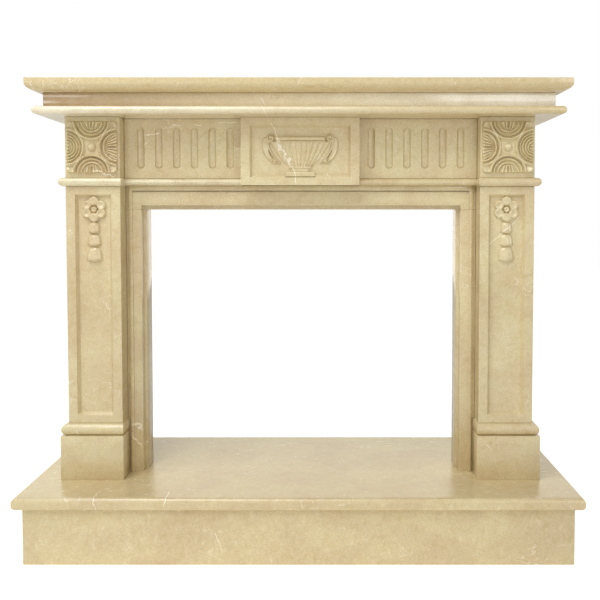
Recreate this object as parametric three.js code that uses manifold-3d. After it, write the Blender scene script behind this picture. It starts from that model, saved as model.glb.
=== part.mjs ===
// Fireplace mantel on a raised hearth, in polished cream marble.
// Millimetres, +Z up. The origin is on the floor at the middle of the hearth's outline: X runs to the
// viewer's right along the mantel, and Y runs back to the wall.
// Every stone is a solid of its own, laid with a thin joint to the next one.

import * as THREE from "three";
import { mergeVertices } from "three/addons/utils/BufferGeometryUtils.js";
import Module from "manifold-3d";

// Joint between two stones.
const JOINT = 0.3;

// Raised hearth.
const HEARTH_LENGTH = 1500;
const HEARTH_DEPTH = 610;
const RISER_HEIGHT = 150;
const RISER_THICKNESS = 30;
const HEARTH_SLAB_THICKNESS = 35;
const HEARTH_OVERHANG = 22;
const HEARTH_NOSE_RADIUS = 14;

// Fireplace opening and the stepped architrave round it.
const OPENING_WIDTH = 893;
const JAMB_WIDTH = 50.7;
const LINTEL_HEIGHT = 66.3;
const INNER_FILLET_WIDTH = 8;
const INNER_FILLET_HEIGHT = 11.5;
const FACE_WIDTH_JAMB = 24;
const FACE_HEIGHT_LINTEL = 41.5;
const STRIP_WIDTH_JAMB = 9;
const STRIP_PROJECTION = 6;
const QUIRK_DEPTH = 7.5;
const LINTEL_GROOVE_HEIGHT = 3;
const LINTEL_GROOVE_DEPTH = 6;
const STEP_DEPTH = 30;
const ARCHITRAVE_SETBACK = 64;

// Pilasters.
const PILASTER_WIDTH = 151;
const PILASTER_DEPTH = 160;
const PILASTER_SETBACK = 172.5;
const PLINTH_HEIGHT = 123;
const PLINTH_PROJECTION = 18.5;
const BASE_MOULDING_HEIGHT = 32.5;
const BASE_PROJECTION = 17;
const SHAFT_HEIGHT = 660.5;
const COLLAR_HEIGHT = 23.5;
const COLLAR_PROJECTION = 16;
const INNER_PROJECTION = 5.5;
const CORNER_BLOCK_HEIGHT = 167.5;

// Sunk panel of a shaft, with its flower and three bell husks.
const SHAFT_PANEL_WIDTH = 101;
const SHAFT_PANEL_MARGIN = 22;
const SHAFT_PANEL_DEPTH = 12;
const PANEL_SLOPE = 7.5;
const FLOWER_DROP = 63;
const PETAL_LENGTH = 26;
const PETAL_WIDTH = 23;
const PETAL_HEIGHT = 9;
const PETAL_COUNT = 6;
const FLOWER_RADIUS = 36;
const FLOWER_BOSS_RADIUS = 8.5;
const HUSK_COUNT = 3;
const FIRST_HUSK_DROP = 50;
const HUSK_SPACING = 36.5;
const HUSK_HEIGHT = 34;
const HUSK_WIDTH = 32;
const HUSK_GROWTH = 8;
const HUSK_RELIEF = 9;

// Patera of a corner block: a raised square with four fans, a saltire between them and a boss.
const PATERA_SIZE = 142;
const PATERA_RELIEF = 12;
const FAN_RADIUS = 44.5;
const FAN_BEAD_RADIUS = 3.2;
const FAN_SINK = 8;
const FAN_PETAL_COUNT = 5;
const FAN_PETAL_WIDTH = 15;
const FAN_PETAL_HEIGHT = 7;
const PATERA_BOSS_RADIUS = 12;
const SALTIRE_RIB_RADIUS = 3.5;

// Frieze, its flutes and the half-round string course below it. The frieze and the corner blocks
// stand on one level, and the opening under the lintel is what the shafts leave.
const FRIEZE_SETBACK = 50;
const STRING_HEIGHT = 20;
const STRING_PROJECTION = 14;
const FLUTE_COUNT = 6;
const FLUTE_SPACING = 50.3;
const FLUTE_WIDTH = 21;
const FLUTE_LENGTH = 114;
const FLUTE_DEPTH = 9;
const FIRST_FLUTE = 199;

// Centre tablet and its urn.
const TABLET_WIDTH = 330;
const TABLET_SETBACK = 8;
const TABLET_PANEL_WIDTH = 280;
const TABLET_PANEL_HEIGHT = 144;
const TABLET_PANEL_DEPTH = 12;
const TABLET_PANEL_SLOPE = 6;
const URN_BASE_WIDTH = 84;
const URN_BASE_HEIGHT = 13;
const URN_STEM_WIDTH = 46;
const URN_STEM_HEIGHT = 9;
const URN_FOOT_WIDTH = 62;
const URN_FOOT_HEIGHT = 6;
const URN_BODY_WIDTH = 156;
const URN_BODY_BOTTOM_WIDTH = 60;
const URN_BODY_HEIGHT = 67;
const URN_RIM_WIDTH = 146;
const URN_RIM_HEIGHT = 16;
const URN_RELIEF = 15;
const GADROON_COUNT = 10;
const GADROON_RADIUS = 7;
const HANDLE_TOP_RADIUS = 11;
const HANDLE_LOW_RADIUS = 8;
const HANDLE_TOP_OUT = 82.5;
const HANDLE_LOW_OUT = 73;
const HANDLE_TOP_UP = 106;
const HANDLE_LOW_UP = 43;
const HANDLE_BOW = 26;
const HANDLE_BAR_RADIUS = 5;

// Cornice.
const BED_SLAB_HEIGHT = 22;
const BED_SLAB_PROJECTION = 68.5;
const BAND_HEIGHT = 36.5;
const BAND_PROJECTION = 44;
const BAND_THICKNESS = 60;
const SHELF_HEIGHT = 35;
const SHELF_FILLET_HEIGHT = 14.5;
const SHELF_PROJECTION = 82;

// Plain slabs at the sides, from the pilasters back to the wall.
const SIDE_RETURN_THICKNESS = 30;
const SIDE_RETURN_SETBACK = 12;

// Round forms are drawn with this many steps to a quarter turn.
const STEPS = 5;

// Levels and planes that follow from the sizes
const frontEdge = -HEARTH_DEPTH / 2;
const wallPlane = HEARTH_DEPTH / 2;
const hearthFoot = RISER_HEIGHT + JOINT;
const hearthTop = hearthFoot + HEARTH_SLAB_THICKNESS;
const plinthFoot = hearthTop + JOINT;
const baseFoot = plinthFoot + PLINTH_HEIGHT + JOINT;
const shaftFoot = baseFoot + BASE_MOULDING_HEIGHT + JOINT;
const collarFoot = shaftFoot + SHAFT_HEIGHT + JOINT;
const blockFoot = collarFoot + COLLAR_HEIGHT + JOINT;
const blockTop = blockFoot + CORNER_BLOCK_HEIGHT;
const bedFoot = blockTop + JOINT;
const bandFoot = bedFoot + BED_SLAB_HEIGHT + JOINT;
const shelfFoot = bandFoot + BAND_HEIGHT + JOINT;
const friezeFoot = blockFoot;
const stringFoot = friezeFoot - JOINT - STRING_HEIGHT;
const lintelTop = stringFoot - JOINT;
const lintelFoot = lintelTop - LINTEL_HEIGHT;

const openingHalf = OPENING_WIDTH / 2;
const jambOuter = openingHalf + JAMB_WIDTH;
const pilasterInner = jambOuter + JOINT;
const pilasterOuter = pilasterInner + PILASTER_WIDTH;
const pilasterMiddle = pilasterInner + PILASTER_WIDTH / 2;
const tabletHalf = TABLET_WIDTH / 2;

const shaftFace = frontEdge + PILASTER_SETBACK;
const surroundBack = shaftFace + PILASTER_DEPTH;
const friezeFace = shaftFace + FRIEZE_SETBACK;
const tabletFace = shaftFace + TABLET_SETBACK;
const architraveFace = shaftFace + ARCHITRAVE_SETBACK;
const innerFilletFace = architraveFace + STEP_DEPTH;
const stripFace = architraveFace - STRIP_PROJECTION;

// Solids, cuts and joins
const wasm = await Module();
wasm.setup();

// Turns a closed three.js geometry into a solid that can be cut and joined.
function solid(geometry) {
  const bare = new THREE.BufferGeometry();
  bare.setAttribute("position", geometry.getAttribute("position").clone());
  if (geometry.index) bare.setIndex(geometry.index.clone());
  const merged = mergeVertices(bare, 1e-4);
  const corners = merged.index.array;
  const triVerts = [];
  for (let i = 0; i < corners.length; i += 3) {
    const [a, b, c] = [corners[i], corners[i + 1], corners[i + 2]];
    if (a !== b && b !== c && c !== a) triVerts.push(a, b, c);
  }
  return new wasm.Manifold(new wasm.Mesh({
    numProp: 3,
    vertProperties: new Float32Array(merged.getAttribute("position").array),
    triVerts: new Uint32Array(triVerts),
  }));
}

// Turns a solid back into a flat-shaded geometry.
function geometryOf(body) {
  const mesh = body.getMesh();
  const geometry = new THREE.BufferGeometry();
  const corners = new Float32Array(mesh.vertProperties.slice(0, mesh.numVert * 3));
  geometry.setAttribute("position", new THREE.BufferAttribute(corners, 3));
  geometry.setIndex(new THREE.BufferAttribute(new Uint32Array(mesh.triVerts), 1));
  return geometry;
}

function joinAll(solids) {
  return solids.reduce((whole, piece) => whole.add(piece));
}

// A block between two X, two Y and two Z planes. X planes can come in either order.
function block(x0, x1, y0, y1, z0, z1) {
  const box = new THREE.BoxGeometry(Math.abs(x1 - x0), y1 - y0, z1 - z0);
  box.translate((x0 + x1) / 2, (y0 + y1) / 2, (z0 + z1) / 2);
  return solid(box);
}

// An outline in the X-Z plane, run from plane yFront back to plane yBack.
function runAlongY(outline, yFront, yBack) {
  const run = new THREE.ExtrudeGeometry(outline, {
    depth: yBack - yFront,
    bevelEnabled: false,
    curveSegments: STEPS,
  });
  const turn = new THREE.Matrix4().makeBasis(
    new THREE.Vector3(1, 0, 0),
    new THREE.Vector3(0, 0, 1),
    new THREE.Vector3(0, -1, 0),
  );
  run.applyMatrix4(turn);
  run.translate(0, yBack, 0);
  return solid(run);
}

// An outline in the Y-Z plane, run from plane xLeft to plane xRight.
function runAlongX(outline, xLeft, xRight) {
  const run = new THREE.ExtrudeGeometry(outline, {
    depth: xRight - xLeft,
    bevelEnabled: false,
    curveSegments: STEPS,
  });
  const turn = new THREE.Matrix4().makeBasis(
    new THREE.Vector3(0, 1, 0),
    new THREE.Vector3(0, 0, 1),
    new THREE.Vector3(1, 0, 0),
  );
  run.applyMatrix4(turn);
  run.translate(xLeft, 0, 0);
  return solid(run);
}

// An outline in the X-Y plane, run up from zFoot to zTop.
function runAlongZ(outline, zFoot, zTop) {
  const run = new THREE.ExtrudeGeometry(outline, {
    depth: zTop - zFoot,
    bevelEnabled: false,
    curveSegments: STEPS,
  });
  run.translate(0, 0, zFoot);
  return solid(run);
}

// Moulding profiles: how far each height stands out, from the foot up
function arc(out, up, radiusOut, radiusUp, from, to) {
  const curve = new THREE.EllipseCurve(out, up, radiusOut, radiusUp, from, to, to < from);
  return curve.getPoints(Math.max(2, Math.round(STEPS * Math.abs(to - from) / (Math.PI / 2))));
}

function at(out, up) {
  return [new THREE.Vector2(out, up)];
}

function roundedNose(out, height, radius) {
  return [
    ...arc(out - radius, radius, radius, radius, -Math.PI / 2, 0),
    ...arc(out - radius, height - radius, radius, radius, 0, Math.PI / 2),
  ];
}

// A stone whose profile runs round its front and the sides that are named, with mitred corners.
// The plan gives the stone's outline where the profile stands out by nothing.
function mouldedStone(plan, foot, profile, mouldedSides) {
  const top = foot + profile[profile.length - 1].y;
  const side = new THREE.Shape();
  side.moveTo(plan.back, foot);
  side.lineTo(plan.back, top);
  for (const step of [...profile].reverse()) side.lineTo(plan.front - step.x, foot + step.y);
  const front = new THREE.Shape();
  front.moveTo(plan.right, foot);
  if (mouldedSides.right) {
    for (const step of profile) front.lineTo(plan.right + step.x, foot + step.y);
  }
  front.lineTo(plan.right, top);
  front.lineTo(plan.left, top);
  if (mouldedSides.left) {
    for (const step of [...profile].reverse()) front.lineTo(plan.left - step.x, foot + step.y);
  }
  front.lineTo(plan.left, foot);
  const widest = Math.max(...profile.map((step) => step.x)) + 1;
  const alongFront = runAlongX(side, plan.left - widest, plan.right + widest);
  const alongSides = runAlongY(front, plan.front - widest, plan.back + 1);
  return alongFront.intersect(alongSides);
}

// The outline of one pilaster, and the side of it that faces outward.
function pilasterPlan(side) {
  const [left, right] = [side * pilasterInner, side * pilasterOuter].sort((a, b) => a - b);
  return { left, right, front: shaftFace, back: surroundBack };
}

// A stone of one pilaster that stands out all round by its profile: by the whole of it in front and
// on the outer side, and by a little on the inner side, as far back as the plane where it meets its
// neighbour.
function pilasterStone(side, foot, profile, meetingPlane) {
  const plan = pilasterPlan(side);
  const reach = Math.max(...profile.map((step) => step.x));
  const inner = side * (pilasterInner + reach - INNER_PROJECTION);
  if (side < 0) plan.right = inner;
  else plan.left = inner;
  const body = mouldedStone(plan, foot, profile, { left: true, right: true });
  const neighbour = block(0, side * pilasterInner, meetingPlane, surroundBack + 1, foot - 1, blockFoot + 1);
  return body.subtract(neighbour);
}

// Carving
function ellipsoid(halfX, halfY, halfZ, turns = 10, rows = 6) {
  return new THREE.SphereGeometry(1, turns, rows).scale(halfX, halfY, halfZ);
}

// A sunk panel with sloping walls, to be cut from a stone whose face is at yFace.
function sunkPanel(xMiddle, zFoot, width, height, yFace, depth, slope) {
  const panel = new THREE.BoxGeometry(1, depth, 1);
  const place = panel.getAttribute("position");
  for (let i = 0; i < place.count; i += 1) {
    const inFront = place.getY(i) < 0;
    const spread = inFront ? 2 * slope / depth : -2 * slope;
    place.setX(i, place.getX(i) * (width + spread));
    place.setZ(i, place.getZ(i) * (height + spread));
    if (inFront) place.setY(i, place.getY(i) - 1);
  }
  panel.translate(xMiddle, yFace + depth / 2, zFoot + height / 2);
  return solid(panel);
}

// A six-petalled flower and a chain of bell husks, in relief on the panel's floor.
function flowerDrop(xMiddle, zFlower, yFloor) {
  const pieces = [];
  for (let i = 0; i < PETAL_COUNT; i += 1) {
    const turn = i * 2 * Math.PI / PETAL_COUNT;
    const petal = ellipsoid(PETAL_WIDTH / 2, PETAL_HEIGHT, PETAL_LENGTH / 2);
    petal.translate(0, 0, FLOWER_RADIUS - PETAL_LENGTH / 2);
    petal.rotateY(turn);
    petal.translate(xMiddle, yFloor, zFlower);
    pieces.push(solid(petal));
  }
  const boss = ellipsoid(FLOWER_BOSS_RADIUS, PETAL_HEIGHT + 1, FLOWER_BOSS_RADIUS);
  pieces.push(solid(boss.translate(xMiddle, yFloor, zFlower)));
  for (let i = 0; i < HUSK_COUNT; i += 1) {
    const half = (HUSK_WIDTH + i * HUSK_GROWTH) / 2;
    const bell = new THREE.LatheGeometry([
      ...at(0, HUSK_HEIGHT / 2),
      ...at(0.45 * half, 0.45 * HUSK_HEIGHT),
      ...at(0.7 * half, 0.26 * HUSK_HEIGHT),
      ...at(0.8 * half, -0.1 * HUSK_HEIGHT),
      ...at(half, -0.5 * HUSK_HEIGHT),
      ...at(0, -0.3 * HUSK_HEIGHT),
    ].reverse(), 12);
    bell.rotateX(Math.PI / 2);
    bell.scale(1, HUSK_RELIEF / half, 1);
    bell.translate(xMiddle, yFloor, zFlower - FIRST_HUSK_DROP - i * HUSK_SPACING);
    pieces.push(solid(bell));
  }
  return joinAll(pieces);
}

// One fan of the patera: a sunk half disc with leaf-shaped petals and a bead round it.
function paterFan(body, middle, quarter, yFace) {
  const cutter = new THREE.CylinderGeometry(FAN_RADIUS, FAN_RADIUS, 2 * FAN_SINK, 8 * STEPS / 2);
  const reach = PATERA_SIZE / 2;
  const place = (shape) => {
    shape.translate(0, 0, -reach);
    shape.rotateY(quarter);
    shape.translate(middle.x, yFace, middle.z);
    return solid(shape);
  };
  let carved = body.subtract(place(cutter));
  const petals = [];
  for (let i = 0; i < FAN_PETAL_COUNT; i += 1) {
    const turn = Math.PI * ((i + 0.5) / FAN_PETAL_COUNT - 0.5);
    const petal = ellipsoid(FAN_PETAL_WIDTH / 2, FAN_PETAL_HEIGHT, FAN_RADIUS * 0.42, 8, 5);
    petal.translate(0, FAN_SINK, FAN_RADIUS * 0.46);
    petal.rotateY(turn);
    petals.push(place(petal));
  }
  const bead = new THREE.TorusGeometry(FAN_RADIUS, FAN_BEAD_RADIUS, 6, 8 * STEPS / 2);
  bead.rotateX(Math.PI / 2);
  petals.push(place(bead));
  return carved.add(joinAll(petals));
}

function patera(middle, yBlock) {
  const half = PATERA_SIZE / 2;
  const yFace = yBlock - PATERA_RELIEF;
  let plate = block(middle.x - half, middle.x + half, yFace, yBlock + 1, middle.z - half, middle.z + half);
  for (let i = 0; i < 4; i += 1) plate = paterFan(plate, middle, i * Math.PI / 2, yFace);
  const ribs = [];
  for (const turn of [Math.PI / 4, -Math.PI / 4]) {
    const rib = new THREE.CylinderGeometry(SALTIRE_RIB_RADIUS, SALTIRE_RIB_RADIUS, 2 * half * 1.3, 8);
    rib.rotateX(Math.PI / 2);
    rib.rotateY(turn);
    rib.translate(middle.x, yFace, middle.z);
    ribs.push(solid(rib));
  }
  const boss = ellipsoid(PATERA_BOSS_RADIUS, PATERA_BOSS_RADIUS * 0.8, PATERA_BOSS_RADIUS, 12, 8);
  ribs.push(solid(boss.translate(middle.x, yFace, middle.z)));
  const field = block(
    middle.x - half, middle.x + half,
    yFace - PATERA_BOSS_RADIUS, yBlock + 1,
    middle.z - half, middle.z + half,
  );
  return plate.add(joinAll(ribs)).intersect(field);
}

// An upright round-ended flute, to be cut from a face at yFace.
function flute(xMiddle, zMiddle, yFace) {
  const half = FLUTE_WIDTH / 2;
  const groove = new THREE.CapsuleGeometry(half, FLUTE_LENGTH - FLUTE_WIDTH, 3, 12);
  groove.rotateX(Math.PI / 2);
  groove.scale(1, FLUTE_DEPTH / half, 1);
  groove.translate(xMiddle, yFace, zMiddle);
  return solid(groove);
}

// The urn in half relief: stepped base, foot, gadrooned body, rim and two scrolled handles.
function urn(zFoot, yFloor) {
  const pieces = [];
  let up = zFoot;
  const tier = (width, height, relief) => {
    pieces.push(block(-width / 2, width / 2, yFloor - relief, yFloor + 1, up - 1, up + height));
    up += height;
  };
  tier(URN_BASE_WIDTH, URN_BASE_HEIGHT, URN_RELIEF * 0.55);
  tier(URN_STEM_WIDTH, URN_STEM_HEIGHT, URN_RELIEF * 0.3);
  tier(URN_FOOT_WIDTH, URN_FOOT_HEIGHT, URN_RELIEF * 0.5);
  const bodyFoot = up;
  const bodyTop = bodyFoot + URN_BODY_HEIGHT;
  const body = new THREE.LatheGeometry([
    ...at(0, 0),
    ...at(URN_BODY_BOTTOM_WIDTH / 2, 0),
    ...at(URN_BODY_WIDTH * 0.38, URN_BODY_HEIGHT * 0.4),
    ...at(URN_BODY_WIDTH * 0.46, URN_BODY_HEIGHT * 0.75),
    ...at(URN_BODY_WIDTH / 2, URN_BODY_HEIGHT),
    ...at(0, URN_BODY_HEIGHT),
  ], 20);
  body.rotateX(Math.PI / 2);
  body.scale(1, 2 * (URN_RELIEF * 0.7) / URN_BODY_WIDTH, 1);
  body.translate(0, yFloor, bodyFoot);
  pieces.push(solid(body));
  for (let i = 0; i < GADROON_COUNT; i += 1) {
    const share = (i - (GADROON_COUNT - 1) / 2) / ((GADROON_COUNT - 1) / 2);
    const fullness = Math.sqrt(Math.max(0, 1 - 0.8 * share * share));
    const xLow = share * (URN_BODY_BOTTOM_WIDTH / 2 - GADROON_RADIUS * 0.6);
    const xHigh = share * (URN_BODY_WIDTH / 2 - GADROON_RADIUS);
    const path = new THREE.LineCurve3(
      new THREE.Vector3(xLow, yFloor - URN_RELIEF * 0.5 * fullness, bodyFoot + 3),
      new THREE.Vector3(xHigh, yFloor - URN_RELIEF * 0.62 * fullness, bodyTop - 4),
    );
    const rib = ellipsoid(GADROON_RADIUS, GADROON_RADIUS * 0.7, path.getLength() / 2 + 3, 8, 6);
    rib.rotateY(Math.atan2(xHigh - xLow, bodyTop - bodyFoot - 7));
    const middle = path.getPoint(0.5);
    rib.translate(middle.x, middle.y, middle.z);
    pieces.push(solid(rib));
  }
  up = bodyTop;
  tier(URN_RIM_WIDTH, URN_RIM_HEIGHT, URN_RELIEF * 0.85);
  for (const side of [-1, 1]) pieces.push(...handle(side, zFoot, yFloor));
  const room = block(
    -TABLET_PANEL_WIDTH / 2, TABLET_PANEL_WIDTH / 2,
    yFloor - 2 * URN_RELIEF, yFloor + 1,
    zFoot - 1, zFoot + TABLET_PANEL_HEIGHT,
  );
  return joinAll(pieces).intersect(room);
}

// A handle: a scroll at the rim, a scroll low on the body and a bowed strap between them.
function handle(side, zFoot, yFloor) {
  const topScroll = new THREE.Vector3(side * HANDLE_TOP_OUT, yFloor, zFoot + HANDLE_TOP_UP);
  const lowScroll = new THREE.Vector3(side * HANDLE_LOW_OUT, yFloor, zFoot + HANDLE_LOW_UP);
  const pieces = [
    [topScroll, HANDLE_TOP_RADIUS],
    [lowScroll, HANDLE_LOW_RADIUS],
  ].map(([centre, radius]) => {
    const disc = new THREE.CylinderGeometry(radius, radius, 2 * URN_RELIEF * 0.55, 12);
    return solid(disc.translate(centre.x, centre.y, centre.z));
  });
  const bow = new THREE.QuadraticBezierCurve3(
    topScroll.clone().add(new THREE.Vector3(side * HANDLE_TOP_RADIUS * 0.7, 0, 0)),
    new THREE.Vector3(
      side * (HANDLE_TOP_OUT + HANDLE_BOW), yFloor, zFoot + (HANDLE_TOP_UP + HANDLE_LOW_UP) / 2),
    lowScroll.clone().add(new THREE.Vector3(side * HANDLE_LOW_RADIUS * 0.6, 0, 0)),
  );
  const strap = new THREE.Shape().absarc(0, 0, HANDLE_BAR_RADIUS, 0, 2 * Math.PI);
  pieces.push(solid(new THREE.ExtrudeGeometry(strap, {
    steps: 6,
    curveSegments: 6,
    bevelEnabled: false,
    extrudePath: bow,
  })));
  return pieces;
}

// Stones
const mantel = new THREE.Group();

function stone(name, body, colour) {
  const material = new THREE.MeshStandardMaterial({ color: colour, roughness: 0.25, metalness: 0 });
  const mesh = new THREE.Mesh(geometryOf(body), material);
  mesh.name = name;
  mantel.add(mesh);
}

const CREAM = "#dccba5";
const HEARTH_CREAM = "#d6c498";
const SIDES = [["left", -1], ["right", 1]];

// Hearth: four riser slabs on edge and the slab that covers them.
const riserFront = frontEdge + HEARTH_OVERHANG;
const riserOuter = HEARTH_LENGTH / 2 - HEARTH_OVERHANG;
const riserInner = riserFront + RISER_THICKNESS + JOINT;
const riserBack = wallPlane - RISER_THICKNESS;
stone("hearth_riser_front",
  block(-riserOuter, riserOuter, riserFront, riserFront + RISER_THICKNESS, 0, RISER_HEIGHT), HEARTH_CREAM);
stone("hearth_riser_back",
  block(-riserOuter, riserOuter, riserBack, wallPlane, 0, RISER_HEIGHT), HEARTH_CREAM);
for (const [word, side] of SIDES) {
  const inner = side * (riserOuter - RISER_THICKNESS);
  stone(`hearth_riser_${word}`,
    block(inner, side * riserOuter, riserInner, riserBack - JOINT, 0, RISER_HEIGHT), HEARTH_CREAM);
}
const hearthPlan = {
  left: -HEARTH_LENGTH / 2 + HEARTH_NOSE_RADIUS,
  right: HEARTH_LENGTH / 2 - HEARTH_NOSE_RADIUS,
  front: frontEdge + HEARTH_NOSE_RADIUS,
  back: wallPlane,
};
stone("hearth_slab", mouldedStone(
  hearthPlan,
  hearthFoot,
  roundedNose(HEARTH_NOSE_RADIUS, HEARTH_SLAB_THICKNESS, HEARTH_NOSE_RADIUS),
  { left: true, right: true },
), HEARTH_CREAM);

// Pilasters, from the plinth up to the corner block.
const plinthProfile = [...at(PLINTH_PROJECTION, 0), ...at(PLINTH_PROJECTION, PLINTH_HEIGHT)];
const baseProfile = roundedNose(BASE_PROJECTION, BASE_MOULDING_HEIGHT, BASE_MOULDING_HEIGHT / 2);
const collarProfile = roundedNose(COLLAR_PROJECTION, COLLAR_HEIGHT, COLLAR_HEIGHT / 2);
for (const [word, side] of SIDES) {
  const plan = pilasterPlan(side);
  const middle = side * pilasterMiddle;
  const meetingJamb = stripFace - JOINT;
  stone(`plinth_block_${word}`, pilasterStone(side, plinthFoot, plinthProfile, meetingJamb), CREAM);
  stone(`base_moulding_${word}`, pilasterStone(side, baseFoot, baseProfile, meetingJamb), CREAM);

  const shaft = block(plan.left, plan.right, plan.front, plan.back, shaftFoot, shaftFoot + SHAFT_HEIGHT);
  const panelHeight = SHAFT_HEIGHT - 2 * SHAFT_PANEL_MARGIN;
  const panel = sunkPanel(middle, shaftFoot + SHAFT_PANEL_MARGIN,
    SHAFT_PANEL_WIDTH, panelHeight, shaftFace, SHAFT_PANEL_DEPTH, PANEL_SLOPE);
  const drop = flowerDrop(middle, shaftFoot + SHAFT_HEIGHT - FLOWER_DROP, shaftFace + SHAFT_PANEL_DEPTH);
  stone(`pilaster_shaft_${word}`, shaft.subtract(panel).add(drop), CREAM);

  const meetingString = friezeFace - STRING_PROJECTION - JOINT;
  stone(`collar_${word}`, pilasterStone(side, collarFoot, collarProfile, meetingString), CREAM);

  const cornerBlock = block(plan.left, plan.right, plan.front, plan.back, blockFoot, blockTop);
  const middleOfBlock = { x: middle, z: (blockFoot + blockTop) / 2 };
  stone(`corner_block_${word}`, cornerBlock.add(patera(middleOfBlock, shaftFace)), CREAM);

  const returnOuter = side * (pilasterOuter - SIDE_RETURN_SETBACK);
  stone(`side_return_${word}`, block(
    returnOuter - side * SIDE_RETURN_THICKNESS, returnOuter,
    surroundBack + JOINT, wallPlane, plinthFoot, blockTop), CREAM);
}

// Architrave: two jambs and a lintel with an inner fillet, a flat face and an outer strip. A
// narrow groove parts the lintel's face from the strip above it.
const faceStart = openingHalf + INNER_FILLET_WIDTH;
const stripStart = faceStart + FACE_WIDTH_JAMB;
const stripEnd = stripStart + STRIP_WIDTH_JAMB;
for (const [word, side] of SIDES) {
  const jamb = new THREE.Shape();
  jamb.moveTo(side * openingHalf, surroundBack);
  jamb.lineTo(side * openingHalf, innerFilletFace);
  jamb.lineTo(side * faceStart, innerFilletFace);
  jamb.lineTo(side * faceStart, architraveFace);
  jamb.lineTo(side * stripStart, architraveFace);
  jamb.lineTo(side * stripStart, stripFace);
  jamb.lineTo(side * stripEnd, stripFace);
  jamb.lineTo(side * stripEnd, stripFace + QUIRK_DEPTH);
  jamb.lineTo(side * jambOuter, stripFace + QUIRK_DEPTH);
  jamb.lineTo(side * jambOuter, surroundBack);
  stone(`jamb_${word}`, runAlongZ(jamb, plinthFoot, lintelFoot - JOINT), CREAM);
}
const faceFoot = lintelFoot + INNER_FILLET_HEIGHT;
const stripFoot = faceFoot + FACE_HEIGHT_LINTEL;
const lintel = joinAll([
  block(-jambOuter, jambOuter, stripFace + QUIRK_DEPTH, surroundBack, lintelFoot, lintelTop),
  block(-stripEnd, stripEnd, stripFace, surroundBack, lintelFoot, lintelTop),
]).subtract(joinAll([
  block(-faceStart, faceStart, stripFace - 1, innerFilletFace, lintelFoot - 1, faceFoot),
  block(-stripStart, stripStart, stripFace - 1, architraveFace, lintelFoot - 1, stripFoot),
  block(-stripStart, stripStart, stripFace - 1, architraveFace + LINTEL_GROOVE_DEPTH,
    stripFoot - LINTEL_GROOVE_HEIGHT, stripFoot),
]));
stone("lintel", lintel, CREAM);

// Frieze: a half-round string course and a fluted panel each side of the tablet.
const stringProfile = arc(
  0, STRING_HEIGHT / 2, STRING_PROJECTION, STRING_HEIGHT / 2, -Math.PI / 2, Math.PI / 2);
for (const [word, side] of SIDES) {
  const near = side * (tabletHalf + JOINT);
  const far = side * jambOuter;
  const [left, right] = [near, far].sort((a, b) => a - b);
  const plan = { left, right, front: friezeFace, back: surroundBack };
  stone(`string_course_${word}`, mouldedStone(plan, stringFoot, stringProfile, {}), CREAM);
  let panel = block(left, right, friezeFace, surroundBack, friezeFoot, blockTop);
  for (let i = 0; i < FLUTE_COUNT; i += 1) {
    const across = side * (FIRST_FLUTE + i * FLUTE_SPACING);
    panel = panel.subtract(flute(across, (friezeFoot + blockTop) / 2 + 1.5, friezeFace));
  }
  stone(`frieze_panel_${word}`, panel, CREAM);
}
const tabletMargin = (blockTop - stringFoot - TABLET_PANEL_HEIGHT) / 2;
const tabletPanelFoot = stringFoot + tabletMargin;
const tablet = block(-tabletHalf, tabletHalf, tabletFace, surroundBack, stringFoot, blockTop)
  .subtract(sunkPanel(0, tabletPanelFoot,
    TABLET_PANEL_WIDTH, TABLET_PANEL_HEIGHT, tabletFace, TABLET_PANEL_DEPTH, TABLET_PANEL_SLOPE))
  .add(urn(tabletPanelFoot + 1, tabletFace + TABLET_PANEL_DEPTH));
stone("centre_tablet", tablet, CREAM);

// Cornice: bed slab, plain band in three stones, and the shelf.
const cornicePlan = { left: -pilasterOuter, right: pilasterOuter, front: shaftFace, back: wallPlane };
const bothSides = { left: true, right: true };
const bedProfile = roundedNose(BED_SLAB_PROJECTION, BED_SLAB_HEIGHT, BED_SLAB_HEIGHT / 2);
stone("bed_slab", mouldedStone(cornicePlan, bedFoot, bedProfile, bothSides), CREAM);
const bandOuter = pilasterOuter + BAND_PROJECTION;
const bandFront = shaftFace - BAND_PROJECTION;
const bandTop = bandFoot + BAND_HEIGHT;
stone("cornice_band_front",
  block(-bandOuter, bandOuter, bandFront, bandFront + BAND_THICKNESS, bandFoot, bandTop), CREAM);
for (const [word, side] of SIDES) {
  stone(`cornice_band_${word}`, block(
    side * (bandOuter - BAND_THICKNESS), side * bandOuter,
    bandFront + BAND_THICKNESS + JOINT, wallPlane, bandFoot, bandTop), CREAM);
}
const shelfRise = SHELF_HEIGHT - SHELF_FILLET_HEIGHT;
const shelfProfile = [
  ...arc(BAND_PROJECTION, shelfRise, SHELF_PROJECTION - BAND_PROJECTION, shelfRise, -Math.PI / 2, 0),
  ...at(SHELF_PROJECTION, SHELF_HEIGHT),
];
stone("mantel_shelf", mouldedStone(cornicePlan, shelfFoot, shelfProfile, bothSides), CREAM);

export default mantel;
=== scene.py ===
# %% [markdown]
# # A carved marble fireplace mantel
#
# A mantel like this one is not a single block. A mason saws slabs and blocks from one pale
# limestone marble, runs a moulding cutter along some edges, carves others by hand, polishes every
# face and sets the stones on each other with a hair-thin joint. This lesson builds it the same
# way: each stone is a piece of its own, made by the kind of step that the mason would use.

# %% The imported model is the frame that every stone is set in
import math

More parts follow.
